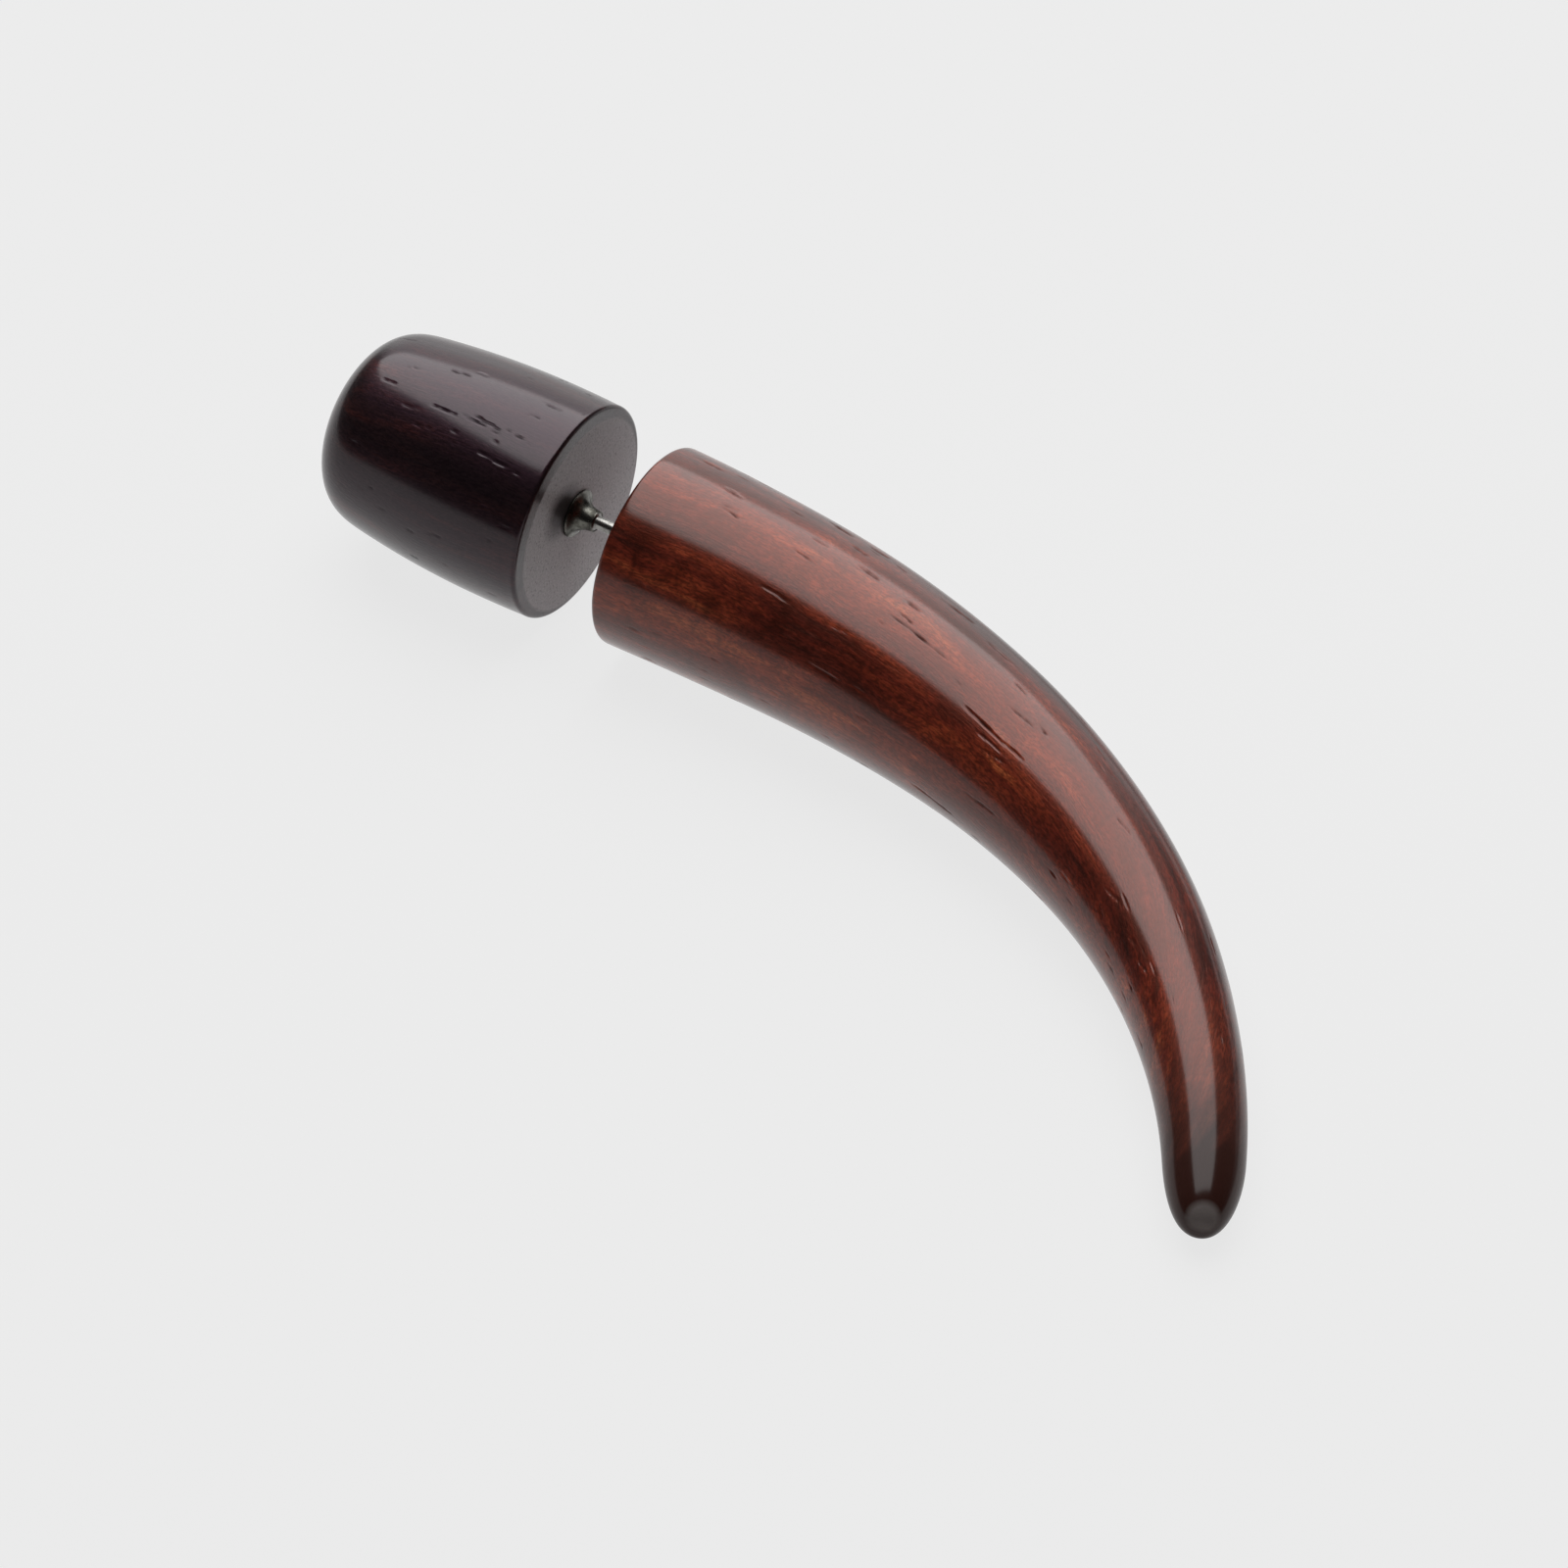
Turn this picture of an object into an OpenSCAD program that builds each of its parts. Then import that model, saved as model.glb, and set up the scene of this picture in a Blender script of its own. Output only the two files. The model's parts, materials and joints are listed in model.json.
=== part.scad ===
// Two-piece wooden ear taper: a curved horn and a rear cap that plug together through the ear.
// Millimetres, +Z up. The origin is on the post's axis, in the middle of the gap between the two woods.
// The piece lies on its three real resting points: the cap's rim, the horn's belly and the horn's tip.

/* [Cap] */
// Length of the rear cap, from its flat face to the crown of its domed end
cap_len = 16.6; // [13:0.1:20]
// Diameter at the flat face
cap_face_d = 14; // [12:0.1:16]
// Diameter at the shoulder of the domed end
cap_end_d = 12.8; // [11:0.1:15]
// How far the side swells proud of a straight taper
cap_bulge = 0.33; // [0.1:0.01:0.6]
// Radius of the shoulder that rolls over into the domed end
cap_shoulder_r = 2.8; // [2:0.1:3.5]
// Radius of the shallow dome itself
cap_dome_r = 11.4; // [9:0.1:20]
// Bevel around the flat face
cap_bevel = 0.25; // [0.1:0.05:0.4]
// Depth of the socket drilled for the post's root
socket_depth = 7; // [5:0.1:9]

/* [Post] */
// Gap between the cap's face and the horn's base, where the ear lobe sits
gap = 5.1; // [4:0.1:8]
// Diameter of the shank that wears through the ear (20 gauge)
post_d = 0.8; // [0.6:0.02:1]
// How far the root that is glued in the cap stands proud of the shank, on the radius
root_step = 0.16; // [0.16:0.01:0.25]
// How far the end that plugs into the horn is turned down, on the radius
plug_step = 0.05; // [0.02:0.01:0.1]
// Length of the plug end, from the horn's base to its rounded nose
plug_len = 7; // [5:0.1:8]
// Length of the slight taper that leads from the shank down to the plug
plug_ease = 0.6; // [0.55:0.05:1]
// Keying grooves around the root, for the glue to hold
root_grooves = 3; // [2:1:4]
// Depth of a keying groove
groove_depth = 0.1; // [0.05:0.01:0.2]

/* [Collar] */
// Diameter of the flared collar where it meets the cap
collar_d = 3.1; // [2.4:0.1:4]
// Wall of the collar at its neck
neck_wall = 0.12; // [0.08:0.01:0.3]
// Length of the collar along the post
collar_len = 1.45; // [1:0.05:2.2]
// Thickness of the lip at its wide end
collar_lip = 0.14; // [0.08:0.01:0.25]

/* [Horn] */
// Length of the horn's centre line
horn_len = 65.8; // [55:0.1:80]
// Diameter at the flat base
base_d = 12.9; // [11:0.1:15]
// Taper control a third of the way along
third_d = 12.5; // [10:0.1:14]
// Taper control two thirds of the way along
two_thirds_d = 6; // [5:0.1:9]
// Taper control at the tip
tip_d = 4.4; // [3.4:0.1:5.5]
// Length over which the tip rounds off
tip_round = 5; // [3:0.1:7]
// Diameter of the small flat on the very end
tip_flat_d = 1.2; // [0.6:0.1:2]
// Rounding of the edge around the base
base_round = 0.3; // [0.1:0.05:0.6]
// Bend at the base, in degrees a millimetre
bend_base = 0.17; // [0:0.01:0.5]
// Bend halfway along
bend_middle = 1.18; // [0.6:0.01:1.5]
// Bend at the tip
bend_tip = 1.16; // [0.6:0.01:1.6]

/* [Grip sleeve] */
// Outer diameter of the soft sleeve that grips the plug
sleeve_d = 2; // [1.6:0.1:3]
// How far the sleeve runs past the nose of the plug
sleeve_over = 0.8; // [0.2:0.1:2]
// Room left behind the sleeve in its bore
bore_spare = 0.7; // [0.3:0.1:1.5]
// Countersink at the mouth of the bore
mouth_ease = 0.25; // [0.1:0.05:0.5]

/* [Clearances] */
// Radial clearance between the plug and the sleeve
plug_clear = 0.02; // [0.01:0.01:0.04]
// Radial clearance between the sleeve and the horn's bore
sleeve_clear = 0.02; // [0.01:0.01:0.05]
// Gap between the end of the post's taper and the sleeve's mouth
seat_gap = 0.05; // [0.02:0.01:0.1]
// Thickness of the glue around the root
glue_gap = 0.24; // [0.15:0.01:0.5]
// Glue beyond the end of the root
glue_end = 0.5; // [0.2:0.1:1]

/* [Hidden] */
$fn = 64;
HORN_SIDES = 48;
BODY_RINGS = 44;
ROUND_RINGS = 9;
face_x = -gap / 2;
base_x = gap / 2;
root_len = socket_depth - glue_end;
root_d = post_d + 2 * root_step;
plug_d = post_d - 2 * plug_step;
neck_d = root_d + 2 * neck_wall;
sleeve_x = base_x + plug_ease + seat_gap;
sleeve_end_x = base_x + plug_len + sleeve_over;
bore_end_x = sleeve_end_x + bore_spare;
// Overshoot of a cut past the face that it opens
cut = 1;

// --- horn: a round section swept along a bending centre line ---

// Heading of the centre line at distance s, the sum of a bend that runs through its three given values
function heading(s) = let (
    u = s / horn_len,
    rise = -3 * bend_base + 4 * bend_middle - bend_tip,
    curl = 2 * bend_base - 4 * bend_middle + 2 * bend_tip
) horn_len * (bend_base * u + rise * u * u / 2 + curl * u * u * u / 3);

// Radius of the taper at distance s, a cubic pulled by its four controls
function taper(s) = let (u = s / horn_len, v = 1 - u)
    (base_d * v * v * v + 3 * third_d * v * v * u + 3 * two_thirds_d * v * u * u + tip_d * u * u * u) / 2;

// The taper with its rounded base edge and rounded tip
function horn_r(s) = let (
    q = max(0, 1 - s / base_round),
    t = max(0, (s - horn_len + tip_round) / tip_round),
    flat = tip_flat_d / 2
) flat + (taper(s) - flat) * sqrt(max(0, 1 - pow(t, 2.2))) - base_round * (1 - sqrt(1 - q * q));

body_end = horn_len - tip_round;
stations = concat(
    [for (i = [0:4]) base_round * (1 - cos(i * 22.5))],
    [for (i = [1:BODY_RINGS]) base_round + (body_end - base_round) * i / BODY_RINGS],
    [for (i = [1:ROUND_RINGS]) body_end + tip_round * sin(i * 90 / ROUND_RINGS)]
);
last = len(stations) - 1;

// Centre line, stepped from station to station along the mean heading; it bends towards -Y
centres = [for (
    i = 0, p = [base_x, 0];
    i <= last;
    p = i == last ? p : let (m = heading((stations[i] + stations[i + 1]) / 2))
        p + (stations[i + 1] - stations[i]) * [cos(m), -sin(m)],
    i = i + 1
) p];
radii = [for (s = stations) horn_r(s)];

function ring(i) = let (h = heading(stations[i])) [
    for (k = [0:HORN_SIDES - 1]) let (a = k * 360 / HORN_SIDES) [
        centres[i][0] + radii[i] * cos(a) * sin(h),
        centres[i][1] + radii[i] * cos(a) * cos(h),
        radii[i] * sin(a)
    ]
];

// --- cap: profile points are [distance behind the flat face, radius] ---

shoulder_r0 = cap_end_d / 2 - cap_shoulder_r;
// Angle at which the shoulder runs into the dome without a crease
shoulder_turn = acos(shoulder_r0 / (cap_dome_r - cap_shoulder_r));
// Length of the side, which leaves room for a shoulder and dome that end the cap at its length
side_len = cap_len - cap_dome_r + (cap_dome_r - cap_shoulder_r) * sin(shoulder_turn);

// Side of the cap: a shallow arc from the bevel to the shoulder
function cap_side() = [for (i = [0:12]) let (u = i / 12) [
    cap_bevel + (side_len - cap_bevel) * u,
    (cap_face_d + (cap_end_d - cap_face_d) * u) / 2 + cap_bulge * 4 * u * (1 - u)
]];
function cap_shoulder() = [for (i = [1:10]) let (a = shoulder_turn * i / 10)
    [side_len + cap_shoulder_r * sin(a), shoulder_r0 + cap_shoulder_r * cos(a)]];
function cap_dome() = [for (i = [1:6]) let (a = shoulder_turn + (90 - shoulder_turn) * i / 6)
    [cap_len - cap_dome_r + cap_dome_r * sin(a), cap_dome_r * cos(a)]];

// --- resting pose: the floor touches the cap, the belly of the horn and its tip ---

cap_rests = [for (p = cap_side()) [face_x - p[0], 0, p[1]]];
horn_rests = [for (i = [0:last]) [centres[i][0], centres[i][1], radii[i]]];
belly_rests = [for (i = [0:last]) if (stations[i] < horn_len / 2) horn_rests[i]];
tip_rests = [for (i = [0:last]) if (stations[i] > horn_len * 0.75) horn_rests[i]];

// Point of a list that reaches lowest when the floor slopes by a along X and b along Y
function lowest(pts, a, b) = let (
    k = norm([a, b, 1]),
    drops = [for (p = pts) p[2] * k - a * p[0] - b * p[1]],
    deepest = max(drops)
) [for (i = [0:len(pts) - 1]) if (drops[i] == deepest) pts[i]][0];

// Floor slopes [a, b] that touch three such points, closed in on by repeating
function floor_slopes(n, a = 0, b = 0) = n == 0 ? [a, b] : let (
    k = norm([a, b, 1]),
    p = lowest(cap_rests, a, b),
    q = lowest(belly_rests, a, b) - p,
    r = lowest(tip_rests, a, b) - p,
    det = q[0] * r[1] - r[0] * q[1]
) floor_slopes(n - 1, k * (q[2] * r[1] - r[2] * q[1]) / det, k * (q[0] * r[2] - r[0] * q[2]) / det);

slopes = floor_slopes(8);
pitch = -asin(slopes[0] / norm([slopes[0], slopes[1], 1]));
roll = asin(slopes[1] / norm([slopes[0], slopes[1], 1]) / cos(pitch));

module laid() {
    rotate([roll, pitch, 0]) children();
}

// Turned shape about the post's axis, from points [distance along X, radius]
module turned(pts) {
    rotate([0, 90, 0]) rotate_extrude() polygon([for (p = pts) [p[1], p[0]]]);
}

// Round bar about the post's axis
module bar(from, to, r) {
    translate([from, 0, 0]) rotate([0, 90, 0]) cylinder(h = to - from, r = r);
}

module horn_body() {
    n = HORN_SIDES;
    polyhedron(
        points = [for (i = [0:last], p = ring(i)) p],
        faces = concat(
            [[for (k = [0:n - 1]) k]],
            [for (i = [0:last - 1], k = [0:n - 1]) let (j = (k + 1) % n) [i * n + k, i * n + n + k, i * n + j]],
            [for (i = [0:last - 1], k = [0:n - 1]) let (j = (k + 1) % n) [i * n + j, i * n + n + k, i * n + n + j]],
            [[for (k = [n - 1:-1:0]) last * n + k]]
        )
    );
}

// Curved claw of red-brown hardwood, drilled in its base for the sleeve
module horn() {
    bore_r = sleeve_d / 2 + sleeve_clear;
    color("#6b2418") laid() difference() {
        horn_body();
        bar(base_x - cut, bore_end_x, bore_r);
        translate([base_x - cut, 0, 0]) rotate([0, 90, 0])
            cylinder(h = cut + mouth_ease, r1 = bore_r + cut + mouth_ease, r2 = bore_r);
    }
}

// Soft clear sleeve in the horn's bore, which grips the plug end of the post
module grip_sleeve() {
    color("#d8d6cc") laid() difference() {
        bar(sleeve_x, sleeve_end_x, sleeve_d / 2);
        bar(sleeve_x - cut, sleeve_end_x + cut, plug_d / 2 + plug_clear);
    }
}

// Barrel-shaped cap of near-black hardwood, with a blind socket in its flat face
module cap() {
    outline = concat([[0, 0], [0, cap_face_d / 2 - cap_bevel]], cap_side(), cap_shoulder(), cap_dome());
    color("#2c1a18") laid() difference() {
        turned([for (p = outline) [face_x - p[0], p[1]]]);
        bar(face_x - socket_depth, face_x + cut, root_d / 2 + glue_gap);
    }
}

// Steel pin: grooved root, plain shank, short taper, turned-down plug with a rounded nose
module post_solid() {
    root_x = face_x - root_len;
    neck_x = face_x + collar_len;
    groove_step = root_len / (root_grooves + 1);
    nose = plug_d / 2;
    difference() {
        union() {
            bar(root_x, neck_x, root_d / 2);
            bar(neck_x, base_x, post_d / 2);
            translate([base_x, 0, 0]) rotate([0, 90, 0])
                cylinder(h = plug_ease, r1 = post_d / 2, r2 = plug_d / 2);
            bar(base_x + plug_ease, base_x + plug_len - nose, plug_d / 2);
            translate([base_x + plug_len - nose, 0, 0]) sphere(r = nose);
        }
        for (i = [1:root_grooves])
            translate([root_x + i * groove_step, 0, 0]) rotate([0, 90, 0]) rotate_extrude()
                translate([root_d / 2, 0]) circle(r = groove_depth, $fn = 24);
    }
}

module ear_post() {
    color("#b9b7b2") laid() post_solid();
}

// Flared steel collar on the root, seated on the cap's face; its side is a concave quarter arc
module post_collar() {
    rise = collar_len - collar_lip;
    flare = (collar_d - neck_d) / 2;
    curve = [for (i = [0:12]) let (a = i * 90 / 12)
        [face_x + collar_lip + rise * (1 - cos(a)), neck_d / 2 + flare * (1 - sin(a))]];
    color("#8f8c87") laid() difference() {
        turned(concat([[face_x, 0], [face_x, collar_d / 2]], curve, [[face_x + collar_len, 0]]));
        bar(face_x - cut, face_x + collar_len + cut, root_d / 2);
    }
}

// Cured glue that fills the socket around the grooved root
module root_glue() {
    color("#c9b27a") laid() difference() {
        bar(face_x - socket_depth, face_x, root_d / 2 + glue_gap);
        post_solid();
    }
}

horn();
grip_sleeve();
cap();
ear_post();
post_collar();
root_glue();
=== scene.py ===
import json
import math

import bpy
import numpy as np
from mathutils import Matrix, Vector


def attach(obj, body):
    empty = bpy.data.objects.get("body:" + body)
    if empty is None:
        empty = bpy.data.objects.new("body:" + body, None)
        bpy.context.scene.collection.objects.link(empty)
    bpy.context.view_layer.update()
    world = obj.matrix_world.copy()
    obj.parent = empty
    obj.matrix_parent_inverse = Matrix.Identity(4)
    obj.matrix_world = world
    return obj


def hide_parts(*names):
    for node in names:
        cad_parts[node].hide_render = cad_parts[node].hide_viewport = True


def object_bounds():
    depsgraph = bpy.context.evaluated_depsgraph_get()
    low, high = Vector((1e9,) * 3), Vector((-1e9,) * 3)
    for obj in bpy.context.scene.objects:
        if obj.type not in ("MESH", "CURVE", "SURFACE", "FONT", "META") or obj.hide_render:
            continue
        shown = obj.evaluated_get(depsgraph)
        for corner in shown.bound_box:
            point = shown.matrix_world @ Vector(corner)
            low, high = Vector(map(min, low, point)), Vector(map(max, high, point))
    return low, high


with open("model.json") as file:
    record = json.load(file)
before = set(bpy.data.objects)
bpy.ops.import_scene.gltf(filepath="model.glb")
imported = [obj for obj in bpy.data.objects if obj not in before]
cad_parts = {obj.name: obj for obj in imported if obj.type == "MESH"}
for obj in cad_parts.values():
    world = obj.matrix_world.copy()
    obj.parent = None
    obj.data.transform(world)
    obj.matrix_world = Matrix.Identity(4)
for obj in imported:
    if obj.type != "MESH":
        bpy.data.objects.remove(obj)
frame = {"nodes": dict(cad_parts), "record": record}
cad_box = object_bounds()
mm = 0.001

# --- How the piece lies ---
# The two woods are plugged together on one straight steel post, and rest on a table on the cap's rim, the
# horn's belly and its tip. Each piece is worked out about the post and then laid down with it.


def points_of(node):
    """The points of a CAD node's mesh, one row of x, y, z each."""
    mesh = frame["nodes"][node].data
    flat = np.empty(len(mesh.vertices) * 3)
    mesh.vertices.foreach_get("co", flat)
    return flat.reshape(-1, 3)


post_mount = frame["record"]["mounts"][0]
post_centre = np.array(post_mount["pos_m"])
along = np.array(post_mount["axis"]) / np.linalg.norm(post_mount["axis"])
horn_points = points_of("horn") - post_centre
reach = np.linalg.norm(horn_points, axis=1)
tip = horn_points[reach > reach.max() - 0.4 * mm].mean(axis=0)
bend_way = tip - (tip @ along) * along
across = -bend_way / np.linalg.norm(bend_way)
upward = np.cross(along, across)


def lay(points):
    """Points along the post, away from the bend and up from both, moved to their place in the frame."""
    return points @ np.array([along, across, upward]) + post_centre


def span(node):
    """How far a CAD node runs along the post: its first and last distance from the post's centre."""
    distance = (points_of(node) - post_centre) @ along
    return distance.min(), distance.max()


def widest(node):
    """The greatest radius of a CAD node about the post."""
    off = points_of(node) - post_centre
    return np.linalg.norm(off - np.outer(off @ along, along), axis=1).max()


# --- Horn ---
# A claw of red-brown rosewood, carved along a bending centre line, sanded and lacquered. Its flat base is
# drilled for the grip sleeve. Open pores and a few checks run along the grain, and the tip is dark.
horn_start, horn_length = span("horn")[0], 65.8 * mm
horn_controls = np.array([12.9, 12.5, 6.0, 4.4]) / 2 * mm
horn_bends = np.radians([0.17, 1.18, 1.16]) / mm
tip_round, tip_flat, base_round = 5.0 * mm, 0.6 * mm, 0.3 * mm
skin_depth, ripple_depth = 0.015 * mm, 0.05 * mm
check_depth, lip_height = 0.09 * mm, 0.006 * mm
bore_r, bore_end, bore_ease = 1.02 * mm, 8.5 * mm, 0.25 * mm
fibre_lag_start, fibre_lag = 34.0 * mm, math.radians(34)
# A pale grey spot at the very end of the tip is a painted highlight of a small facet there.
tip_glint_spot, tip_glint_r = post_centre + tip + (0.8 * upward - 0.6 * along - 0.35 * across) * mm, 0.9 * mm
ripple_from, ripple_full = 36 * mm, 52 * mm
mottle_full, mottle_faint = 8 * mm, 30 * mm
burn_from, burn_full = 54.5 * mm, 65.0 * mm
# The second colour is the pale grey of the painted highlight at the tip.
char_shade, tip_glint_colour = (0.007, 0.0045, 0.0045, 1), (0.12, 0.118, 0.115, 1)
red_pore_shade = (0.012, 0.006, 0.005, 1)
HORN_SIDES = 384


def horn_heading(s):
    """How far the centre line has turned at distance s: the sum of a bend that is a parabola through
    its values at the base, the middle and the tip."""
    u = s / horn_length
    first, middle, last = horn_bends
    rise, curl = 4 * middle - 3 * first - last, 2 * first - 4 * middle + 2 * last
    return horn_length * (first * u + rise * u**2 / 2 + curl * u**3 / 3)


def horn_radius(s):
    """A cubic taper between four controls, times a superellipse that rounds the tip down to a small
    flat, less a quarter circle that rounds the rim of the base."""
    u = s / horn_length
    a, b, c, d = horn_controls
    taper = a * (1 - u) ** 3 + 3 * b * (1 - u) ** 2 * u + 3 * c * (1 - u) * u**2 + d * u**3
    into_tip = np.clip((s - horn_length + tip_round) / tip_round, 0, 1)
    before_rim = np.clip(1 - s / base_round, 0, 1)
    rounded = tip_flat + (taper - tip_flat) * np.sqrt(np.maximum(0, 1 - into_tip**2.2))
    return rounded - base_round * (1 - np.sqrt(np.maximum(0, 1 - before_rim**2)))


def cut_marks(s, angle, radius, marks):
    """How open the surface is at each point, 0 to 1, and how much lip stands there. A mark is a thin
    spindle along the grain: it is open by a level that wavers along it, less the squares of the
    distances along it over its half length and across it over a little more than its half width, all
    times a steepness and kept from 0 to 1. Its middle drifts round the wood by a given angle from end to
    end. The lip is a bell curve on both sides, and fades towards the ends."""
    level, swing, waves, start_waves = 0.75, 0.25, 9, 40
    steepness, lip_place, lip_spread = 1.6, 1.5, 0.6
    open_wood, lip = np.zeros(radius.shape), np.zeros(radius.shape)
    for start, turn, length, width, drift, depth in marks:
        rows = np.abs(s[:, 0] - start) < length
        run = (s[rows] - start) / (length / 2)
        middle = math.radians(turn) + math.radians(drift) * run / 2
        round_by = (angle[rows] - middle + math.pi) % (2 * math.pi) - math.pi
        side = round_by * radius[rows] / (0.6 * width)
        broken = level + swing * np.sin(waves * run + start_waves * start / mm)
        spindle = broken - run**2 - side**2
        open_wood[rows] = np.maximum(open_wood[rows], depth * np.clip(steepness * spindle, 0, 1))
        ridge = np.exp(-(((np.abs(side) - lip_place) / lip_spread) ** 2)) * np.clip(1 - run**2, 0, 1)
        lip[rows] = np.maximum(lip[rows], depth * ridge)
    return open_wood, lip


def scattered(seed, count, low, high, length, width):
    """A seeded scatter of small pores: even in distance and angle, with their lengths, widths and
    depths drawn from a range."""
    draw = np.random.default_rng(seed)
    return np.stack([
        draw.uniform(low, high, count),
        draw.uniform(0, 360, count),
        draw.uniform(length[0], length[1], count),
        draw.uniform(width[0], width[1], count),
        draw.uniform(-3, 3, count),
        draw.uniform(0.15, 0.6, count),
    ], axis=1)


def hand_ripple(s, angle, girth):
    """The faint unevenness of hand sanding, 0 to 1: the sum of three waves along and round the piece."""
    wave = np.sin(s / (2.9 * girth) + 2 * angle) + np.sin(s / (1.3 * girth) - angle + 1.1)
    return (wave + np.sin(s / (0.7 * girth) + 3 * angle + 2.3)) / 6 + 0.5


def ring_mesh(name, rings, grain=None, pore=None, tube=False):
    """A closed surface through rings of points. Quads join each ring to the next; the two end rings
    close to a pole at their mean, or on a tube the last ring joins the first. Its volume shows which
    way its faces point."""
    rows, sides = rings.shape[:2]
    points = rings.reshape(-1, 3)
    step = np.arange(rows if tube else rows - 1)[:, None]
    here, there = step * sides, (step + 1) % rows * sides
    k = np.arange(sides)
    n = (k + 1) % sides
    quads = np.stack([here + k, here + n, there + n, there + k], axis=-1).reshape(-1, 4)
    fans = np.empty((0, 3), int)
    if not tube:
        points = np.vstack([points, rings[0].mean(axis=0), rings[-1].mean(axis=0)])
        first = np.stack([n, k, np.full(sides, rows * sides)], axis=1)
        last = np.stack([k, n, np.full(sides, rows * sides + 1)], axis=1)
        last += np.array([1, 1, 0]) * (rows - 1) * sides
        fans = np.vstack([first, last])
    corners = points[np.vstack([quads[:, [0, 1, 2]], quads[:, [0, 2, 3]], fans])]
    volume = np.einsum("ij,ij->", corners[:, 0], np.cross(corners[:, 1], corners[:, 2]))
    if volume < 0:
        quads, fans = quads[:, ::-1], fans[:, ::-1]
    mesh = bpy.data.meshes.new(name)
    mesh.from_pydata(lay(points), [], quads.tolist() + fans.tolist())
    mesh.shade_smooth()
    for label, kind, values in (("grain", "FLOAT_VECTOR", grain), ("pore", "FLOAT", pore)):
        if values is None:
            continue
        values = values.reshape(rows * sides, -1)
        ends = [values[:sides].mean(axis=0), values[-sides:].mean(axis=0)]
        whole = values if tube else np.vstack([values, *ends])
        field = mesh.attributes.new(label, kind, "POINT")
        part = "vector" if kind == "FLOAT_VECTOR" else "value"
        field.data.foreach_set(part, whole.astype(np.float32).ravel())
    piece = bpy.data.objects.new(name, mesh)
    bpy.context.scene.collection.objects.link(piece)
    return piece


def put(tree, kind, sockets=None, **settings):
    """Adds a shader node. A named socket takes a value, or a link when given another node's output."""
    made = tree.nodes.new("ShaderNode" + kind)
    for key, value in settings.items():
        setattr(made, key, value)
    for key, value in (sockets or {}).items():
        if isinstance(value, bpy.types.NodeSocket):
            tree.links.new(value, made.inputs[key])
        else:
            made.inputs[key].default_value = value
    return made


def ramp(tree, share, stops):
    """A colour or grey that runs through the given stops, each a place from 0 to 1 and a linear colour."""
    made = put(tree, "ValToRGB", {"Fac": share})
    bands = made.color_ramp.elements
    while len(bands) < len(stops):
        bands.new(0.5)
    for band, (place, shade) in zip(bands, stops):
        band.position = place
        band.color = (*shade, 1) if isinstance(shade, tuple) else (shade, shade, shade, 1)
    return made.outputs["Color"]


def sum_of(tree, a, b, operation="ADD"):
    """One arithmetic step on two numbers."""
    return put(tree, "Math", {0: a, 1: b}, operation=operation).outputs[0]


def vector_sum(tree, a, b, operation="ADD"):
    """One arithmetic step on two vectors. A distance or a dot product comes out as a number."""
    made = put(tree, "VectorMath", {0: a, 1: b}, operation=operation)
    return made.outputs["Value" if operation in ("DISTANCE", "DOT_PRODUCT") else "Vector"]


def ranged(tree, value, start, end, first=0.0, last=1.0):
    """A number that goes from first to last while the value goes from start to end, and holds at both."""
    sockets = {"Value": value, "From Min": start, "From Max": end, "To Min": first, "To Max": last}
    return put(tree, "MapRange", sockets).outputs[0]


def stretched_noise(tree, vector, size, detail, rough=0.55):
    """Noise whose grains are size[0] metres long and size[1] metres across."""
    scaled = vector_sum(tree, vector, (1 / size[0], 1 / size[1], 1 / size[1]), "MULTIPLY")
    sockets = {"Vector": scaled, "Scale": 1.0, "Detail": detail, "Roughness": rough}
    return put(tree, "TexNoise", sockets).outputs["Fac"]


def shade_mix(tree, share, a, b, blend="MIX"):
    """Colour a turned into colour b by a share, or joined to it in another way."""
    return put(tree, "Mix", {0: share, 6: a, 7: b}, data_type="RGBA", blend_type=blend).outputs[2]


def start_group(name, inputs, outputs):
    """An empty node group with named inputs and outputs, and the nodes that stand for them."""
    group = bpy.data.node_groups.new(name, "ShaderNodeTree")
    for label, kind in inputs.items():
        group.interface.new_socket(label, in_out="INPUT", socket_type="NodeSocket" + kind)
    for label, kind in outputs.items():
        group.interface.new_socket(label, in_out="OUTPUT", socket_type="NodeSocket" + kind)
    return group, group.nodes.new("NodeGroupInput").outputs, group.nodes.new("NodeGroupOutput").inputs


def wood_figure_group():
    """Figure of a close-grained hardwood on fibre coordinates: broad streaks, narrow streaks, fine
    fibres and short flecks, each a value from 0 to 1."""
    waviness = 1.6 * mm
    outputs = {"Broad": "Float", "Narrow": "Float", "Fibres": "Float", "Flecks": "Float"}
    group, given, wanted = start_group("Wood figure", {"Grain": "Vector"}, outputs)
    slow = put(group, "TexNoise", {"Vector": given["Grain"], "Scale": 90.0, "Detail": 1.0})
    shift = vector_sum(group, slow.outputs["Color"], (0.5, 0.5, 0.5), "SUBTRACT")
    push = vector_sum(group, shift, (0, waviness, waviness), "MULTIPLY")
    waved = vector_sum(group, given["Grain"], push)
    for label, size, detail in (
        ("Broad", (17 * mm, 2.2 * mm), 4.0),
        ("Narrow", (9 * mm, 0.5 * mm), 4.0),
        ("Fibres", (1.6 * mm, 0.09 * mm), 3.0),
        ("Flecks", (0.38 * mm, 0.13 * mm), 2.0),
    ):
        noise = stretched_noise(group, waved, size, detail)
        group.links.new(ranged(group, noise, 0.3, 0.7), wanted[label])
    return group


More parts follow.
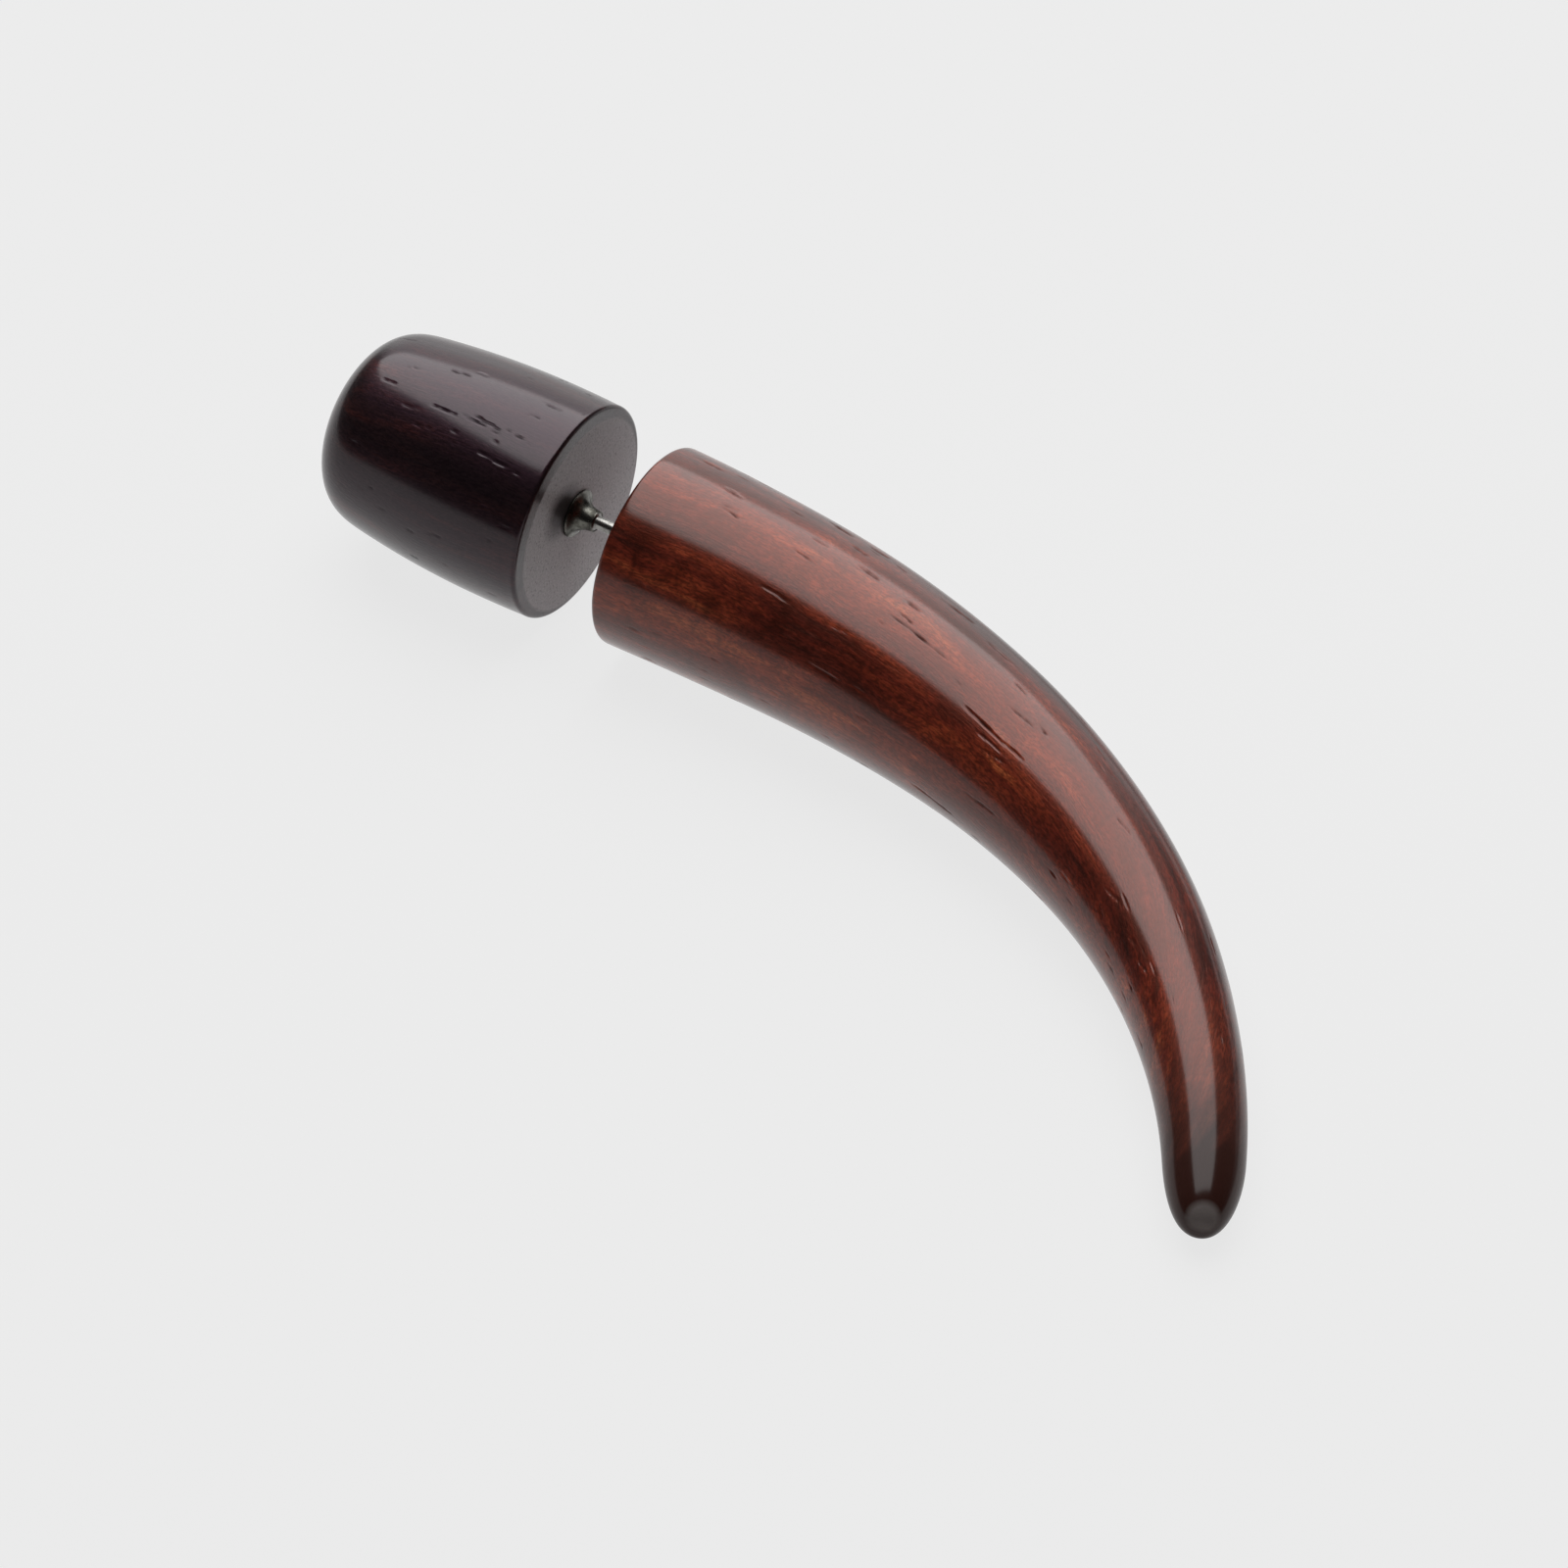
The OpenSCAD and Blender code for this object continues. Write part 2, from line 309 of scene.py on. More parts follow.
def lacquer_relief_group():
    """What shows through and in a coat of lacquer: its slight orange peel, fibres that print through
    it, and hair-fine rubbing marks. It gives a normal, and a mask that dulls the pores."""
    relief_depth = 0.022 * mm
    inputs = {"Grain": "Vector", "Fibres": "Float", "Flecks": "Float", "Pore": "Float"}
    outputs = {"Normal": "Vector", "Sheen Mask": "Float"}
    group, given, wanted = start_group("Lacquer relief", inputs, outputs)
    peel = put(group, "TexNoise", {"Vector": given["Grain"], "Scale": 900.0, "Detail": 2.0}).outputs["Fac"]
    rubbing_and_glint = stretched_noise(group, given["Grain"], (5 * mm, 0.035 * mm), 2.0)
    fibre_print = sum_of(group, given["Fibres"], 0.3, "MULTIPLY")
    fleck_print = sum_of(group, given["Flecks"], 0.3, "MULTIPLY")
    height = sum_of(group, sum_of(group, fibre_print, fleck_print), sum_of(group, peel, 0.8, "MULTIPLY"))
    height = sum_of(group, height, sum_of(group, rubbing_and_glint, 0.2, "MULTIPLY"))
    bump = put(group, "Bump", {"Strength": 1.0, "Distance": relief_depth, "Height": height})
    group.links.new(bump.outputs[0], wanted["Normal"])
    group.links.new(sum_of(group, 1.0, given["Pore"], "SUBTRACT"), wanted["Sheen Mask"])
    return group


wood_figure = wood_figure_group()
lacquer_relief = lacquer_relief_group()


def start_material(name):
    """An empty material with its output and a Principled shader joined to it."""
    material = bpy.data.materials.new(name)
    material.use_nodes = True
    tree = material.node_tree
    tree.nodes.clear()
    shader = put(tree, "BsdfPrincipled")
    tree.links.new(shader.outputs[0], put(tree, "OutputMaterial").inputs[0])
    return material, tree, shader.inputs


def lacquered_wood(name, streaks, fibre_tint, fibre_level):
    """A lacquered hardwood: its figure coloured through the given stops, its relief, and dark open
    pores. The fibres under the lacquer give a broad tinted shine. The colour and the mask of the coat's
    gloss are left for the caller to finish and join."""
    material, tree, shader = start_material(name)
    grain = put(tree, "Attribute", attribute_name="grain").outputs["Vector"]
    pore = put(tree, "Attribute", attribute_name="pore").outputs["Fac"]
    figure = put(tree, "Group", node_tree=wood_figure)
    tree.links.new(grain, figure.inputs["Grain"])
    broad, narrow, fibres, flecks = figure.outputs
    share = sum_of(tree, sum_of(tree, broad, 0.6, "MULTIPLY"), sum_of(tree, narrow, 0.4, "MULTIPLY"))
    base = ramp(tree, share, streaks)
    fibre_shade = ramp(tree, fibres, [(0.0, 0.35), (0.5, 0.8), (1.0, 1.0)])
    lines = shade_mix(tree, 0.6, base, fibre_shade, "MULTIPLY")
    fleck_shade = ramp(tree, flecks, [(0.25, 0.4), (0.7, 1.5)])
    speckled = shade_mix(tree, 0.7, lines, fleck_shade, "MULTIPLY")
    relief = put(tree, "Group", node_tree=lacquer_relief)
    for label, value in (("Grain", grain), ("Fibres", fibres), ("Flecks", flecks), ("Pore", pore)):
        tree.links.new(value, relief.inputs[label])
    tree.links.new(relief.outputs["Normal"], shader["Normal"])
    shader["Coat Roughness"].default_value = 0.17
    shader["Coat IOR"].default_value = 1.42
    shader["Specular IOR Level"].default_value = fibre_level
    shader["Specular Tint"].default_value = (*fibre_tint, 1)
    tree.links.new(ramp(tree, pore, [(0.0, 0.42), (1.0, 0.8)]), shader["Roughness"])
    return material, tree, shader, grain, pore, speckled, relief.outputs["Sheen Mask"]


def red_hardwood():
    """Red-brown rosewood: deep red to orange streaks, mottled at the base and rippled further on, with
    a near-black burn towards the tip, where the lacquer is thinner. A pale grey spot at the very end, with
    no lacquer, is a painted highlight of a small facet there."""
    material, tree, shader, grain, pore, wood, sheen = lacquered_wood("Red rosewood", [
        (0.08, (0.018, 0.006, 0.005)),
        (0.28, (0.045, 0.007, 0.005)),
        (0.50, (0.100, 0.013, 0.007)),
        (0.72, (0.180, 0.028, 0.011)),
        (0.92, (0.320, 0.075, 0.026)),
    ], (1.0, 0.22, 0.10), 0.65)
    distance = put(tree, "SeparateXYZ", {0: grain}).outputs[0]
    ripple = ramp(tree, stretched_noise(tree, grain, (0.9 * mm, 5 * mm), 2.0), [(0.35, 0.7), (0.65, 1.25)])
    ripple_share = ranged(tree, distance, ripple_from, ripple_full, 0.0, 0.8)
    rippled = shade_mix(tree, ripple_share, wood, ripple, "MULTIPLY")
    cloud_look = {"Vector": grain, "Scale": 420.0, "Detail": 5.0, "Roughness": 0.6, "Distortion": 0.8}
    cloud = put(tree, "TexNoise", cloud_look).outputs["Fac"]
    mottle = ramp(tree, cloud, [(0.36, (0.30, 0.26, 0.26)), (0.5, 0.95), (0.66, (1.5, 1.75, 1.7))])
    mottle_share = ranged(tree, distance, mottle_faint, mottle_full, 0.2, 0.75)
    mottled = shade_mix(tree, mottle_share, rippled, mottle, "MULTIPLY")
    uneven = sum_of(tree, stretched_noise(tree, grain, (6 * mm, 1.2 * mm), 3.0), 7 * mm, "MULTIPLY")
    burn = ranged(tree, sum_of(tree, distance, uneven), burn_from, burn_full)
    burned = shade_mix(tree, burn, mottled, char_shade)
    deep_burn = sum_of(tree, burn, burn, "MULTIPLY")
    sound_wood = shader["Roughness"].links[0].from_socket
    charred = put(tree, "Mix", {0: deep_burn, 2: sound_wood, 3: 0.95}).outputs[0]
    tree.links.new(charred, shader["Roughness"])
    place = put(tree, "TexCoord").outputs["Object"]
    # A painted highlight: a pale grey spot without lacquer near the very end, where a small facet catches
    # the light.
    from_spot = vector_sum(tree, place, tuple(tip_glint_spot), "DISTANCE")
    rubbing_and_glint = ranged(tree, from_spot, tip_glint_r + 0.2 * mm, tip_glint_r - 0.2 * mm)
    ended = shade_mix(tree, rubbing_and_glint, burned, tip_glint_colour)
    thinner = sum_of(tree, 1.0, sum_of(tree, burn, 0.3, "MULTIPLY"), "SUBTRACT")
    coated = sum_of(tree, thinner, sum_of(tree, 1.0, rubbing_and_glint, "SUBTRACT"), "MULTIPLY")
    tree.links.new(sum_of(tree, sheen, coated, "MULTIPLY"), shader["Coat Weight"])
    tree.links.new(shade_mix(tree, pore, ended, red_pore_shade), shader["Base Color"])
    return material


def horn_piece():
    """Rings from the end of the bore out to its mouth, over the flat base, along the body and round the
    tip. On the body a ring is a circle square to the centre line, whose place is the sum of short steps
    along its heading."""
    steps = np.linspace(0, horn_length, 4000)
    mean_heading = horn_heading((steps[1:] + steps[:-1]) / 2)
    path_x = np.append(0, np.cumsum(np.diff(steps) * np.cos(mean_heading)))
    path_y = np.append(0, np.cumsum(np.diff(steps) * -np.sin(mean_heading)))
    rim_r = horn_radius(np.zeros(1))[0]
    bore = [(bore_end, 0.5 * bore_r), (bore_end, 0.97 * bore_r), (bore_end - 0.02 * mm, bore_r)]
    bore += [(bore_end * share, bore_r) for share in (0.75, 0.5, 0.25)]
    bore += [(bore_ease, bore_r), (0.02 * mm, bore_r + bore_ease - 0.02 * mm)]
    bore += [(0, bore_r + bore_ease + 0.02 * mm)]
    bore += [(0, rim_r * share) for share in (0.3, 0.5, 0.7, 0.85, 0.95, 0.985)]
    rim = base_round * (1 - np.cos(np.radians(np.arange(0, 90, 15))))
    body = np.linspace(base_round, horn_length - tip_round, 196)
    nose = horn_length - tip_round * (1 - np.sin(np.radians(np.linspace(4, 90, 22))))
    outside = np.concatenate([rim, body, nose])
    s = np.concatenate([[x for x, r in bore], outside])[:, None]
    radius = np.concatenate([[r for x, r in bore], horn_radius(outside)])[:, None]
    on_body = np.arange(len(s))[:, None] >= len(bore)
    heading = np.where(on_body, horn_heading(s), 0)
    centre_x = np.where(on_body, np.interp(s, steps, path_x), s)
    centre_y = np.where(on_body, np.interp(s, steps, path_y), 0)
    angle = np.linspace(0, 2 * math.pi, HORN_SIDES, endpoint=False)[None, :]
    checks = np.array([
        [6.2, 92, 1.5, 0.15, 3, 0.8], [11.6, 94, 1.9, 0.13, 2, 0.7], [11.4, 122, 3.0, 0.12, 2, 0.8],
        [13.4, 136, 1.8, 0.12, 1, 0.7], [19.3, 92, 1.5, 0.14, 2, 0.8], [20.6, 97, 5.4, 0.13, 1, 0.9],
        [28.0, 115, 4.2, 0.16, 1, 1.0], [30.6, 114, 2.2, 0.13, -2, 0.8], [29.2, 121, 3.2, 0.12, -2, 0.9],
        [30.0, 126, 2.6, 0.12, -7, 0.9], [29.0, 92, 3.0, 0.13, -4, 0.7], [30.7, 87, 0.7, 0.2, 1, 0.9],
        [27.2, 75, 1.2, 0.14, 1, 0.6], [38.6, 81, 2.0, 0.12, -5, 0.5], [42.6, 122, 1.6, 0.13, -7, 0.7],
        [42.8, 138, 1.4, 0.13, 8, 0.7], [46.2, 125, 1.4, 0.14, -8, 0.7], [48.0, 127, 1.8, 0.13, -9, 0.9],
        [31.0, 160, 3.2, 0.12, -3, 0.6], [16.8, 148, 4.0, 0.12, 1, 0.5], [27.0, 190, 6.0, 0.13, 6, 0.7],
        [11.4, 53, 2.2, 0.4, 2, 0.8], [14.2, 52, 1.6, 0.34, -2, 0.7], [20.5, 56, 3.2, 0.3, -3, 0.6],
        [5.2, 77, 1.4, 0.28, 3, 0.6], [15.3, 79, 1.8, 0.26, 1, 0.6], [18.8, 81, 1.6, 0.24, 1, 0.6],
        [13.6, 66, 1.8, 0.3, 2, 0.5], [2.6, 61, 2.4, 0.3, 1, 0.5], [24.5, 63, 3.0, 0.24, -2, 0.5],
    ]) * [mm, 1, mm, mm, 1, 1]
    small = scattered(11, 170, 1.5 * mm, 54 * mm, (0.5 * mm, 1.6 * mm), (0.09 * mm, 0.13 * mm))
    open_wood, lip = cut_marks(s + 0 * angle, angle + 0 * s, radius + 0 * angle, np.vstack([checks, small]))
    open_wood, lip = open_wood * on_body, lip * on_body
    waves = ripple_depth * hand_ripple(s, angle, 3 * mm) * np.clip((s - 1 * mm) / (4 * mm), 0, 1)
    sunk = skin_depth + waves
    r = radius - np.where(on_body, sunk, 0) - check_depth * open_wood + lip_height * lip
    x = horn_start + centre_x + r * np.cos(angle) * np.sin(heading)
    rings = np.stack([x, centre_y + r * np.cos(angle) * np.cos(heading), r * np.sin(angle)], axis=-1)
    lag = fibre_lag * np.clip((steps - fibre_lag_start) / (horn_length - fibre_lag_start), 0, 1)
    run_out = np.append(0, np.cumsum(np.diff(steps) * np.sin((lag[1:] + lag[:-1]) / 2)))
    grain_y = r * np.cos(angle) + np.interp(s, steps, run_out)
    grain = np.stack([s + 0 * r, grain_y, r * np.sin(angle)], axis=-1)
    return ring_mesh("horn_rosewood", rings, grain, open_wood)


horn = horn_piece()
horn.data.materials.append(red_hardwood())
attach(horn, "horn_half")
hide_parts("horn")

# --- Grip sleeve ---
# A short length of clear silicone tube pushed into the horn's bore. It is a little tight on the post, and
# it is what holds the two halves together. Its ends are cut square with slightly soft edges.
SLEEVE_SIDES = 96


def tube_rings(start, end, inner, outer, soften, sides):
    """A straight tube about the post: its section is a rectangle whose corners are quarter circles of
    the given radius, carried once round."""
    quarter = np.radians(np.linspace(0, 90, 5))
    x_in, y_in = soften * np.sin(quarter), soften * np.cos(quarter)
    near, far, low, high = start + soften, end - soften, inner + soften, outer - soften
    x = np.concatenate([far + x_in, far + y_in, near - x_in, near - y_in])
    r = np.concatenate([high + y_in, low - x_in, low - y_in, high + x_in])
    return turn_profile(x, r, sides)


def turn_profile(x, r, sides):
    """A profile of distances along the post and radii, carried round the post in even turns."""
    angle = np.linspace(0, 2 * math.pi, sides, endpoint=False)
    x, r = np.broadcast_to(np.asarray(x)[:, None], (len(x), sides)), np.asarray(r)[:, None]
    return np.stack([x, r * np.cos(angle), r * np.sin(angle)], axis=-1)


def clear_silicone():
    """Milky clear rubber: mostly let through, with a faint haze that varies along the tube."""
    material, tree, shader = start_material("Clear silicone")
    place = put(tree, "TexCoord").outputs["Object"]
    haze = put(tree, "TexNoise", {"Vector": place, "Scale": 1200.0, "Detail": 3.0}).outputs["Fac"]
    milky = ramp(tree, haze, [(0.3, (0.70, 0.69, 0.64)), (0.7, (0.86, 0.86, 0.82))])
    tree.links.new(milky, shader["Base Color"])
    tree.links.new(ramp(tree, haze, [(0.3, 0.28), (0.7, 0.42)]), shader["Roughness"])
    bump = put(tree, "Bump", {"Strength": 0.3, "Distance": 0.01 * mm, "Height": haze})
    tree.links.new(bump.outputs[0], shader["Normal"])
    shader["IOR"].default_value = 1.41
    shader["Transmission Weight"].default_value = 0.6
    return material


sleeve_start, sleeve_end = span("grip_sleeve")
sleeve_bore = 0.37 * mm
sleeve = ring_mesh(
    "grip_sleeve_silicone",
    tube_rings(sleeve_start, sleeve_end, sleeve_bore, widest("grip_sleeve"), 0.06 * mm, SLEEVE_SIDES),
    tube=True,
)
sleeve.data.materials.append(clear_silicone())
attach(sleeve, "sleeve")
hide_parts("grip_sleeve")

# --- Cap ---
# A barrel of near-black hardwood turned between centres, with a shallow domed end and a flat face, and
# lacquered like the horn. A blind socket in the face takes the root of the post.
cap_back, cap_face = span("cap")
cap_skin, cap_ripple_depth, cap_check_depth = 0.01 * mm, 0.03 * mm, 0.08 * mm
cap_length = cap_face - cap_back - cap_skin
cap_face_r, cap_end_r, cap_bulge, cap_bevel = 7.0 * mm, 6.4 * mm, 0.33 * mm, 0.25 * mm
shoulder_r, dome_r = 2.8 * mm, 11.4 * mm
socket_r, socket_depth = 0.8 * mm, 7.0 * mm
# The bare face is a circle set off centre, and the dark lacquered crescent it leaves at one side is painted
# shade.
sanding_r, shade_crescent_offset = 6.35 * mm, (0.37 * mm, -0.47 * mm)
# A dark patch on the face beside the collar: painted shadow and reflection of the collar.
collar_shadow_r, collar_shadow_core, collar_shadow_centre = 2.2 * mm, 0.9 * mm, (-1.6 * mm, 1.4 * mm)
collar_shadow_colour, dark_pore_shade = (0.02, 0.019, 0.017, 1), (0.004, 0.003, 0.003, 1)
CAP_SIDES = 400


def sanded(d, r, reach, count):
    """A profile evened out as sanding does: it is spaced evenly along its length, and each point moves
    to the mean of its neighbours, weighted by a bell curve of the given reach. The profile goes on past
    the axis as its mirror image, and the other end stays where it is."""
    length = np.append(0, np.cumsum(np.hypot(np.diff(d), np.diff(r))))
    even = np.linspace(0, length[-1], count)
    d, r = np.interp(even, length, d), np.interp(even, length, r)
    mirrored_d, mirrored_r = np.append(d, d[-2::-1]), np.append(r, -r[-2::-1])
    apart = even[:, None] - np.append(even, 2 * even[-1] - even[-2::-1])[None, :]
    bell = np.exp(-((apart / reach) ** 2))
    bell /= bell.sum(axis=1, keepdims=True)
    share = np.clip(even / (2 * reach), 0, 1)
    return d + share * (bell @ mirrored_d - d), np.maximum(r + share * (bell @ mirrored_r - r), 0.02 * mm)


def cap_piece():
    """A turned profile: the socket from its end to its mouth, the flat face, a bevel, and a sanded side
    that is a straight taper plus a parabola, a shoulder arc and a dome arc."""
    meeting = math.acos((cap_end_r - shoulder_r) / (dome_r - shoulder_r))
    side_length = cap_length - dome_r + (dome_r - shoulder_r) * math.sin(meeting)
    hole_d = np.array([1, 1, 0.997, 0.7, 0.4, 0.01, 0, 0]) * socket_depth
    hole_r = np.array([0.5, 0.97, 1, 1, 1, 1, 1.03, 1.4]) * socket_r
    face_r = np.array([0.35, 0.5, 0.65, 0.8, 0.9, 0.985]) * (cap_face_r - cap_bevel)
    turn = np.radians(np.linspace(0, 90, 7))
    bevel_d, bevel_r = cap_bevel * (1 - np.cos(turn)), cap_face_r - cap_bevel * (1 - np.sin(turn))
    u = np.linspace(0, 1, 72)[1:]
    side_d = cap_bevel + (side_length - cap_bevel) * u
    side_r = cap_face_r + (cap_end_r - cap_face_r) * u + cap_bulge * 4 * u * (1 - u)
    roll = np.linspace(0, meeting, 40)[1:]
    shoulder_d = side_length + shoulder_r * np.sin(roll)
    shoulder_line = cap_end_r - shoulder_r + shoulder_r * np.cos(roll)
    crown = np.linspace(meeting, math.pi / 2, 40)[1:]
    dome_d, dome_line = cap_length - dome_r + dome_r * np.sin(crown), dome_r * np.cos(crown)
    turned_d = np.concatenate([side_d, shoulder_d, dome_d])
    turned_r = np.concatenate([side_r, shoulder_line, dome_line])
    sanded_d, sanded_r = sanded(turned_d, turned_r, 1.1 * mm, 150)
    d = np.concatenate([hole_d, 0 * face_r, bevel_d, sanded_d])[:, None]
    r = np.concatenate([hole_r, face_r, bevel_r, sanded_r])[:, None]
    outside = np.arange(len(d))[:, None] >= len(hole_d) + len(face_r) + len(bevel_d)
    angle = np.linspace(0, 2 * math.pi, CAP_SIDES, endpoint=False)[None, :]
    checks = np.array([
        [8.6, 85, 2.2, 0.14, 2, 0.9], [7.9, 110, 2.2, 0.13, 0, 0.9], [5.0, 107, 3.2, 0.12, -3, 1.0],
        [5.4, 109, 3.4, 0.12, -2, 1.0], [2.7, 107, 2.2, 0.11, -2, 0.8], [2.8, 93, 1.6, 0.11, 1, 0.6],
        [8.6, 122, 2.2, 0.11, 1, 0.6], [3.2, 123, 4.2, 0.12, -3, 0.8], [2.4, 82, 2.2, 0.12, 1, 0.6],
        [12.2, 106, 1.6, 0.12, 0, 0.7], [5.6, 172, 1.8, 0.12, 2, 0.5], [10.0, 115, 2.2, 0.11, 2, 0.4],
    ]) * [mm, 1, mm, mm, 1, 1]
    small = scattered(5, 60, 0.8 * mm, 14 * mm, (0.5 * mm, 1.4 * mm), (0.09 * mm, 0.12 * mm))
    open_wood, lip = cut_marks(d + 0 * angle, angle + 0 * d, r + 0 * angle, np.vstack([checks, small]))
    open_wood, lip = open_wood * outside, lip * outside
    sunk = cap_skin + cap_ripple_depth * hand_ripple(d, angle, 4 * mm) * np.clip(d / (3 * mm), 0, 1)
    evened = r - np.where(outside, sunk * np.minimum(1, r / (3 * mm)), 0)
    radius = evened - cap_check_depth * open_wood + lip_height * lip
    x = cap_face - d
    rings = np.stack([x + 0 * radius, radius * np.cos(angle), radius * np.sin(angle)], axis=-1)
    return ring_mesh("cap_dark_hardwood", rings, rings, open_wood)


def dark_hardwood():
    """Near-black hardwood with a few red-brown streaks. Its flat face is bare sanded end grain with small
    round pores and rays, in a pale grey that is partly the wood's own and partly painted reflection of the
    pale table. The bare circle is off centre, so a dark lacquered crescent left at one side is painted
    shade, and a dark patch on the face beside the collar is painted shadow and reflection of the collar."""
    material, tree, shader, grain, pore, wood, sheen = lacquered_wood("Near-black hardwood", [
        (0.20, (0.0065, 0.0040, 0.0040)),
        (0.50, (0.0125, 0.0055, 0.0050)),
        (0.75, (0.0320, 0.0085, 0.0065)),
        (0.95, (0.0600, 0.0140, 0.0090)),
    ], (1.0, 0.38, 0.70), 0.2)
    distance = put(tree, "SeparateXYZ", {0: grain}).outputs[0]
    on_face = ranged(tree, distance, cap_face - 0.08 * mm, cap_face - 0.02 * mm)
    across_grain = vector_sum(tree, grain, (0, 1, 1), "MULTIPLY")
    # Outside this off-centre circle the face keeps its dark lacquer: a crescent of painted shade at one
    # side.
    from_middle = vector_sum(tree, across_grain, (0, *shade_crescent_offset), "DISTANCE")
    inside = ranged(tree, from_middle, sanding_r + 0.1 * mm, sanding_r - 0.1 * mm)
    bare = sum_of(tree, on_face, inside, "MULTIPLY")
    rays = stretched_noise(tree, across_grain, (0.9 * mm, 0.14 * mm), 4.0, 0.7)
    # The pale grey is partly the end grain's own colour and partly painted reflection of the pale table.
    grey_grain_and_reflection = ramp(tree, rays, [(0.3, (0.27, 0.265, 0.267)), (0.7, (0.58, 0.565, 0.57))])
    holes = put(tree, "TexVoronoi", {"Vector": across_grain, "Scale": 3200.0}).outputs["Distance"]
    pored = shade_mix(tree, 0.55, grey_grain_and_reflection, ramp(tree, holes, [(0.12, 0.25), (0.3, 1.0)]), "MULTIPLY")
    # Painted shadow and reflection of the collar, darkening the face beside it.
    from_collar_shadow = vector_sum(tree, across_grain, (0, *collar_shadow_centre), "DISTANCE")
    collar_shadow = ranged(tree, from_collar_shadow, collar_shadow_r, collar_shadow_core, 0.0, 0.95)
    end_grain_and_collar_shadow = shade_mix(tree, collar_shadow, pored, collar_shadow_colour)
    faced = shade_mix(tree, bare, wood, end_grain_and_collar_shadow)
    tree.links.new(shade_mix(tree, pore, faced, dark_pore_shade), shader["Base Color"])
    open_face = sum_of(tree, 1.0, sum_of(tree, bare, 0.85, "MULTIPLY"), "SUBTRACT")
    coated = sum_of(tree, open_face, 0.94, "MULTIPLY")
    tree.links.new(sum_of(tree, sheen, coated, "MULTIPLY"), shader["Coat Weight"])
    return material


cap = cap_piece()
cap.data.materials.append(dark_hardwood())
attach(cap, "cap_half")
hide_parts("cap")

# --- Collar ---
# A small flared steel collar, turned with a concave side, that sits on the cap's face around the root of
# the post and covers the glued socket. Its turned side keeps fine rings and a little tarnish.
collar_start, collar_end = span("post_collar")
collar_r, neck_r, collar_bore = widest("post_collar"), 0.68 * mm, 0.56 * mm
collar_lip, collar_soften, bore_soften = 0.14 * mm, 0.03 * mm, 0.01 * mm
STEEL_SIDES = 128


def turned_steel_group():
    """Marks of a lathe on a small steel part, from its distance along the post and its place: fine
    rings, and a blotchy mask of tarnish."""
    inputs = {"Distance": "Float", "Place": "Vector"}
    group, given, wanted = start_group("Turned steel", inputs, {"Rings": "Float", "Tarnish": "Float"})
    along_only = put(group, "CombineXYZ", {0: given["Distance"]})
    rings = put(group, "TexNoise", {"Vector": along_only.outputs[0], "Scale": 26000.0, "Detail": 2.0})
    blotch_look = {"Vector": given["Place"], "Scale": 1900.0, "Detail": 4.0, "Roughness": 0.6}
    blotch = put(group, "TexNoise", blotch_look).outputs["Fac"]
    group.links.new(rings.outputs["Fac"], wanted["Rings"])
    group.links.new(ranged(group, blotch, 0.42, 0.68), wanted["Tarnish"])
    return group


turned_steel = turned_steel_group()


def steel(name, clean, dull, smooth, rough, relief):
    """Steel of two colours, clean and dull, mixed by its tarnish; its roughness follows the same mask."""
    material, tree, shader = start_material(name)
    place = put(tree, "Attribute", attribute_name="grain").outputs["Vector"]
    distance = put(tree, "SeparateXYZ", {0: place}).outputs[0]
    marks = put(tree, "Group", node_tree=turned_steel)
    tree.links.new(distance, marks.inputs["Distance"])
    tree.links.new(place, marks.inputs["Place"])
    tarnish = marks.outputs["Tarnish"]
    tree.links.new(shade_mix(tree, tarnish, (*clean, 1), (*dull, 1)), shader["Base Color"])
    tree.links.new(ramp(tree, tarnish, [(0.0, smooth), (1.0, rough)]), shader["Roughness"])
    bump = put(tree, "Bump", {"Strength": 0.6, "Distance": relief, "Height": marks.outputs["Rings"]})
    tree.links.new(bump.outputs[0], shader["Normal"])
    shader["Metallic"].default_value = 1.0
    return material


def collar_profile():
    """A foot, a short lip, a concave quarter ellipse up to the neck, and the bore back to the foot. The
    outer corners are softened."""
    turn = np.radians(np.linspace(0, 90, 28))[:-1]
    end, rise, flare = collar_end - collar_start, collar_end - collar_start - collar_lip, collar_r - neck_r
    x = np.concatenate([
        [0, 0, collar_soften, collar_lip - collar_soften],
        collar_lip + rise * (1 - np.cos(turn)),
        [end - bore_soften, end, end, end - bore_soften, 0.5 * end, bore_soften, 0],
    ])
    r = np.concatenate([
        [0.5 * (collar_r + collar_bore), collar_r - collar_soften, collar_r, collar_r],
        neck_r + flare * (1 - np.sin(turn)),
        [neck_r, neck_r - bore_soften, collar_bore + bore_soften, collar_bore],
        [collar_bore, collar_bore, collar_bore + bore_soften],
    ])
    return collar_start + x, r


collar_rings = turn_profile(*collar_profile(), STEEL_SIDES)
collar = ring_mesh("post_collar_steel", collar_rings, collar_rings, tube=True)
collar.data.materials.append(
    steel("Turned collar steel", (0.15, 0.148, 0.130), (0.030, 0.029, 0.022), 0.26, 0.5, 0.006 * mm))
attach(collar, "cap_half")
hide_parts("post_collar")

# --- Ear post ---
# One straight steel wire: a thicker root with keying grooves that is glued in the cap, the bare 20 gauge
# shank that the ear hangs on, and a turned-down plug end with a round nose that the grip sleeve holds.
post_start, post_end = span("ear_post")
shank_r = post_mount["dims"]["r_mm"] * mm
shank_end = horn_start
root_r, plug_r, plug_ease = 0.56 * mm, 0.35 * mm, 0.6 * mm
groove_count, groove_r = 3, 0.1 * mm


